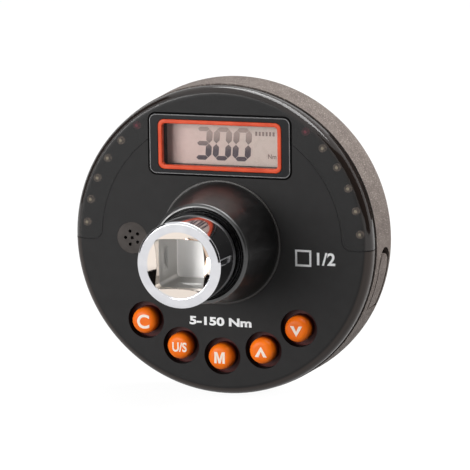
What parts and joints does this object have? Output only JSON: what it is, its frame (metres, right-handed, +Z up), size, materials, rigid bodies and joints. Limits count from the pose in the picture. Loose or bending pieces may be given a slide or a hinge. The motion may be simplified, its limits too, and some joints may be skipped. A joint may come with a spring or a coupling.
{
  "type": "torque angle gauge",
  "caption": "Round digital torque and angle gauge with an upright display, lamp arch, push keys and a square drive spindle running through it.",
  "frame": {"origin": "on the drive axis, in the plane of the output shoulder that the square drive stands on", "axes": "+Y along the drive axis towards the output square, the display faces -Y, +Z up with the display upright above the axis"},
  "size_m": [0.0834, 0.0776, 0.0834],
  "materials": {
    "cover_plastic": "fine matte charcoal moulding",
    "smoked_lens": "glossy smoked translucent moulding",
    "bezel_plastic": "satin dark blue grey moulding",
    "accent_plastic": "smooth orange moulding",
    "clear_window": "clear polished window",
    "black_plastic": "plain black moulding",
    "display_glass": "grey beige reflective display",
    "contact_rubber": "soft striped rubber",
    "grille_plastic": "matte brown grey moulding",
    "neck_plastic": "satin black turned sleeve",
    "fastener_steel": "plain bright steel",
    "seal_rubber": "smooth black rubber",
    "drive_chrome": "polished chrome plate on steel",
    "gauge_foil": "amber film",
    "board_laminate": "green laminate",
    "contact_metal": "bright sprung metal",
    "red_lamp": "clear red body",
    "pale_lamp": "milky pale body",
    "dark_steel": "blackened steel",
    "housing_plastic": "warm grey moulding with a fine sparkled grain",
    "cell_steel": "nickel plated can",
    "key_rubber": "soft orange rubber",
    "plunger_plastic": "off white moulding"
  },
  "bodies": {
    "gauge": {"front_cover": "cover_plastic", "led_lens": "smoked_lens", "window_frame": "bezel_plastic", "accent_frame": "accent_plastic", "display_window": "clear_window", "light_box": "black_plastic", "display_panel": "display_glass", "display_strips": "contact_rubber", "buzzer_grille": "grille_plastic", "buzzer": "black_plastic", "neck_sleeve": "neck_plastic", "neck_screws": "fastener_steel", "mouth_seal": "seal_rubber", "drive_spindle": "drive_chrome", "strain_gauges": "gauge_foil", "gauge_ribbon": "gauge_foil", "main_board": "board_laminate", "led_boards": "board_laminate", "led_pins": "contact_metal", "red_leds": "red_lamp", "pale_leds": "pale_lamp", "control_chips": "black_plastic", "gyro_sensor": "black_plastic", "switch_cases": "black_plastic", "case_gasket": "seal_rubber", "rear_housing": "housing_plastic", "hub_seal": "seal_rubber", "retaining_ring": "dark_steel", "set_screws": "dark_steel", "case_screws": "dark_steel", "battery_cell": "cell_steel", "minus_contact": "contact_metal", "plus_contact": "contact_metal", "port_socket": "fastener_steel", "cover_pin": "fastener_steel", "detent_spring": "fastener_steel"},
    "key_clear_body": {"key_clear": "key_rubber", "plunger_clear": "plunger_plastic"},
    "key_unit_body": {"key_unit": "key_rubber", "plunger_unit": "plunger_plastic"},
    "key_mode_body": {"key_mode": "key_rubber", "plunger_mode": "plunger_plastic"},
    "key_up_body": {"key_up": "key_rubber", "plunger_up": "plunger_plastic"},
    "key_down_body": {"key_down": "key_rubber", "plunger_down": "plunger_plastic"},
    "cap_body": {"battery_cap": "housing_plastic", "cap_seal": "seal_rubber"},
    "port_cover_body": {"port_cover": "housing_plastic"},
    "ball_body": {"detent_ball": "fastener_steel"}
  },
  "joints": [
    {"name": "press_clear", "type": "slide", "parent": "gauge", "child": "key_clear_body", "axis": [0, 1, 0], "range_m": [0, 0.0005], "stiffness_N_per_m": 1500, "springref_m": -0.0004},
    {"name": "press_unit", "type": "slide", "parent": "gauge", "child": "key_unit_body", "axis": [0, 1, 0], "range_m": [0, 0.0005], "stiffness_N_per_m": 1500, "springref_m": -0.0004},
    {"name": "press_mode", "type": "slide", "parent": "gauge", "child": "key_mode_body", "axis": [0, 1, 0], "range_m": [0, 0.0005], "stiffness_N_per_m": 1500, "springref_m": -0.0004},
    {"name": "press_up", "type": "slide", "parent": "gauge", "child": "key_up_body", "axis": [0, 1, 0], "range_m": [0, 0.0005], "stiffness_N_per_m": 1500, "springref_m": -0.0004},
    {"name": "press_down", "type": "slide", "parent": "gauge", "child": "key_down_body", "axis": [0, 1, 0], "range_m": [0, 0.0005], "stiffness_N_per_m": 1500, "springref_m": -0.0004},
    {"name": "battery_cap_twist", "type": "hinge", "parent": "gauge", "child": "cap_body", "pos_m": [0, -0.0105, -0.0264], "axis": [0, 1, 0], "range_deg": [0, 50]},
    {"name": "port_cover_hinge", "type": "hinge", "parent": "gauge", "child": "port_cover_body", "pos_m": [0.03716, -0.0174, -0.01673], "axis": [0, 1, 0], "range_deg": [0, 85]},
    {"name": "detent_press", "type": "slide", "parent": "gauge", "child": "ball_body", "axis": [0, 0, 1], "range_m": [-0.00068, 0], "stiffness_N_per_m": 3000, "springref_m": 0.0006, "deforming": ["detent_spring"]}
  ]
}
